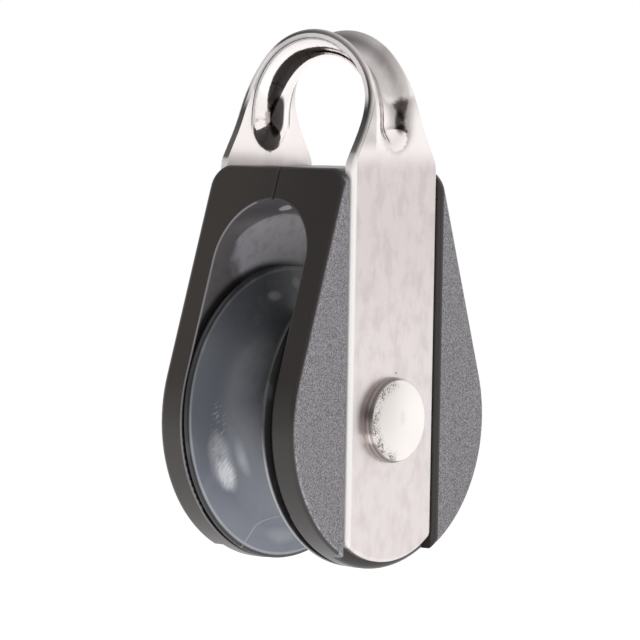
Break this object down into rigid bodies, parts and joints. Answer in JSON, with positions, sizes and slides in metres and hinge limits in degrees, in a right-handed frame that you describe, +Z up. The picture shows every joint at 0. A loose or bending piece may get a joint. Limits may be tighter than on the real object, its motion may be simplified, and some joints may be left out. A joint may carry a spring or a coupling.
{
  "type": "single pulley block",
  "caption": "Single pulley block: grooved sheave on a riveted axle between two moulded cheeks, carried by a bent stainless strap with a thimble eye.",
  "frame": {"origin": "middle of the axle, at the centre of the sheave's rope groove", "axes": "+X along the axle, +Z up from the axle to the eye, rope leaves the sheave on the -Y and +Y sides"},
  "size_m": [0.0208, 0.03, 0.0539],
  "materials": {
    "strap_steel": "polished stainless sheet with brightened pressed edges",
    "cheek_plastic": "dark grey moulding, smooth on its edges and spark-textured on the outer pads",
    "sheave_plastic": "smooth blue-grey moulding with light scuffs in the groove",
    "axle_steel": "polished stainless with small marks round the head's edge"
  },
  "bodies": {
    "block_frame": {"strap": "strap_steel", "left_cheek": "cheek_plastic", "right_cheek": "cheek_plastic", "bush": "axle_steel", "axle_rivet": "axle_steel", "left_washer": "axle_steel", "right_washer": "axle_steel"},
    "sheave": {"sheave": "sheave_plastic"}
  },
  "joints": [
    {"name": "sheave_spin", "type": "hinge", "parent": "block_frame", "child": "sheave", "pos_m": [0, 0, 0], "axis": [1, 0, 0], "continuous": true}
  ]
}
